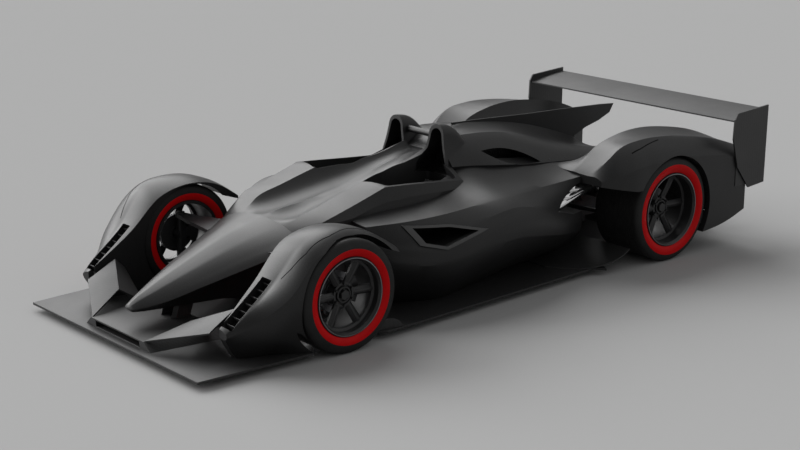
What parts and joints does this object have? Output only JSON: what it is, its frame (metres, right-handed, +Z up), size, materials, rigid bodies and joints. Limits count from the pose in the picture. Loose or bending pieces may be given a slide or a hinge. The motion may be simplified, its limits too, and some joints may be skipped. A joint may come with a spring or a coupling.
{
  "type": "open wheel racing car",
  "caption": "Low open-cockpit racing car with side-by-side seats, separate fenders over dished spoked wheels, steered front wheels, a central fin and a wide rear wing.",
  "frame": {"origin": "on the ground, at the middle of the length and width", "axes": "nose toward -Y, the left side of the car toward +X, up is +Z"},
  "size_m": [2, 4.769, 1.0343],
  "materials": {
    "body": "satin composite skin",
    "carbon": "matte composite plate",
    "tyre": "matte rubber",
    "rim": "satin black",
    "brake": "machined",
    "chrome": "polished",
    "metal": "satin black",
    "engine": "cast",
    "seat": "padded fabric",
    "control": "matte"
  },
  "bodies": {
    "chassis": {"cockpit_tub": "body", "deflectors": "carbon", "diffuser": "carbon", "drive_shafts": "metal", "engine_block": "engine", "engine_cover": "body", "exhausts": "chrome", "fender_louvres": "carbon", "floor": "carbon", "floor_kicks": "carbon", "front_fender_left": "body", "front_fender_right": "body", "front_lower_arms": "metal", "front_splitter": "carbon", "front_upper_arms": "metal", "front_wing": "carbon", "gearbox": "engine", "inlet_frames": "carbon", "nose_cone": "body", "rear_arms": "metal", "rear_calipers": "brake", "rear_fender_left": "body", "rear_fender_right": "body", "rear_uprights": "metal", "rear_wing": "carbon", "roll_hoop_left": "body", "roll_hoop_right": "body", "seats": "seat", "shark_fin": "body", "side_pod_left": "body", "side_pod_right": "body", "splitter_pylons": "carbon", "steering_wheel": "control", "wing_endplates": "carbon"},
    "steer_left": {"front_knuckle_left": "metal"},
    "steer_right": {"front_knuckle_right": "metal"},
    "front_left_wheel": {"front_left_rim": "rim", "front_left_tyre": "tyre", "front_left_disc": "brake"},
    "front_right_wheel": {"front_right_rim": "rim", "front_right_tyre": "tyre", "front_right_disc": "brake"},
    "rear_left_wheel": {"rear_left_rim": "rim", "rear_left_tyre": "tyre", "rear_left_disc": "brake"},
    "rear_right_wheel": {"rear_right_rim": "rim", "rear_right_tyre": "tyre", "rear_right_disc": "brake"}
  },
  "joints": [
    {"name": "steer_left", "type": "hinge", "parent": "chassis", "child": "steer_left", "pos_m": [0.77, -1.3765, 0.338], "axis": [0, 0, 1], "range_deg": [-15, 15]},
    {"name": "steer_right", "type": "hinge", "parent": "chassis", "child": "steer_right", "pos_m": [-0.77, -1.3765, 0.338], "axis": [0, 0, 1], "range_deg": [-15, 15]},
    {"name": "front_left_spin", "type": "hinge", "parent": "steer_left", "child": "front_left_wheel", "pos_m": [0.83, -1.3765, 0.338], "axis": [1, 0, 0], "continuous": true},
    {"name": "front_right_spin", "type": "hinge", "parent": "steer_right", "child": "front_right_wheel", "pos_m": [-0.83, -1.3765, 0.338], "axis": [1, 0, 0], "continuous": true},
    {"name": "rear_left_spin", "type": "hinge", "parent": "chassis", "child": "rear_left_wheel", "pos_m": [0.77, 1.4295, 0.358], "axis": [1, 0, 0], "continuous": true},
    {"name": "rear_right_spin", "type": "hinge", "parent": "chassis", "child": "rear_right_wheel", "pos_m": [-0.77, 1.4295, 0.358], "axis": [1, 0, 0], "continuous": true}
  ],
  "couplings": [
    {"joint": "steer_right", "follows": "steer_left", "ratio": 1}
  ]
}
